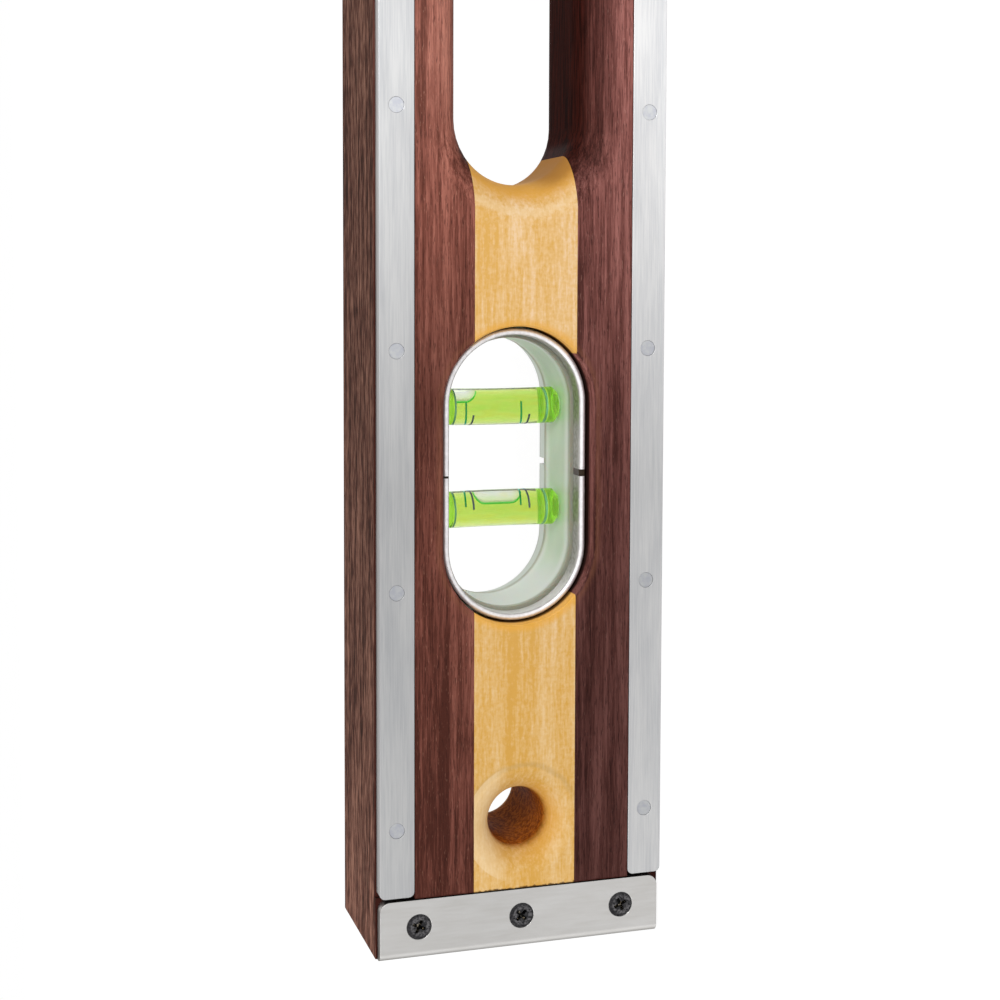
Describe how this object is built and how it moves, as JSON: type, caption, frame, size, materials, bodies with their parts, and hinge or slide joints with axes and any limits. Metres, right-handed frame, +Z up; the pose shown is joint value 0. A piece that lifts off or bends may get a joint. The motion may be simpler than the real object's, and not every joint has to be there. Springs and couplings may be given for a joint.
{
  "type": "spirit level",
  "caption": "Long laminated wooden spirit level with steel-bound edges, three glazed vial windows, two hand holes and a hang hole.",
  "frame": {"origin": "middle of the level's length and thickness, on the lower working edge it rests on", "axes": "+X along the body towards the end without the hang hole, +Y from the front face to the back face, +Z up to the upper working edge; the level stands on its long narrow edge and shows its front face to -Y"},
  "size_m": [0.6096, 0.0318, 0.064],
  "materials": {
    "dark_wood": "satin varnish over a reddish brown wood",
    "pale_wood": "satin varnish over a pale honey wood",
    "steel": "lengthwise brushed, lightly rubbed",
    "plate_steel": "fine brushed, lightly scratched",
    "rivet_steel": "flush, turned face",
    "screw_steel": "black oxide look",
    "nickel": "pressed and plated",
    "clear_glass": "clear",
    "liner_plastic": "pale grey green",
    "vial_plastic": "clear, takes the liquid's colour",
    "fluid": "clear yellow green liquid",
    "plug_plastic": "solid green"
  },
  "bodies": {
    "root": {"rail_lower": "dark_wood", "rail_upper": "dark_wood", "core_left_end": "pale_wood", "core_left_inner": "pale_wood", "core_middle_left": "pale_wood", "core_middle_right": "pale_wood", "core_right_inner": "pale_wood", "core_right_end": "pale_wood", "strip_front_lower": "steel", "strip_front_upper": "steel", "strip_back_lower": "steel", "strip_back_upper": "steel", "end_plate_left_front": "plate_steel", "end_plate_left_back": "plate_steel", "end_plate_right_front": "plate_steel", "end_plate_right_back": "plate_steel", "rivets_lower": "rivet_steel", "rivets_upper": "rivet_steel", "screws_left": "screw_steel", "screws_right": "screw_steel", "left_liner": "liner_plastic", "left_ring_front_outer": "nickel", "left_ring_front_inner": "nickel", "left_ring_back_outer": "nickel", "left_ring_back_inner": "nickel", "left_glass_front": "clear_glass", "left_glass_back": "clear_glass", "left_vial_outer": "vial_plastic", "left_vial_inner": "vial_plastic", "left_fluid_outer": "fluid", "left_fluid_inner": "fluid", "left_plugs_outer": "plug_plastic", "left_plugs_inner": "plug_plastic", "centre_liner": "liner_plastic", "centre_ring_front_outer": "nickel", "centre_ring_front_inner": "nickel", "centre_ring_back_outer": "nickel", "centre_ring_back_inner": "nickel", "centre_glass_front": "clear_glass", "centre_glass_back": "clear_glass", "centre_vial_lower": "vial_plastic", "centre_vial_upper": "vial_plastic", "centre_fluid_lower": "fluid", "centre_fluid_upper": "fluid", "centre_plugs_lower": "plug_plastic", "centre_plugs_upper": "plug_plastic", "right_liner": "liner_plastic", "right_ring_front_outer": "nickel", "right_ring_front_inner": "nickel", "right_ring_back_outer": "nickel", "right_ring_back_inner": "nickel", "right_glass_front": "clear_glass", "right_glass_back": "clear_glass", "right_vial_outer": "vial_plastic", "right_vial_inner": "vial_plastic", "right_fluid_outer": "fluid", "right_fluid_inner": "fluid", "right_plugs_outer": "plug_plastic", "right_plugs_inner": "plug_plastic"}
  },
  "joints": []
}
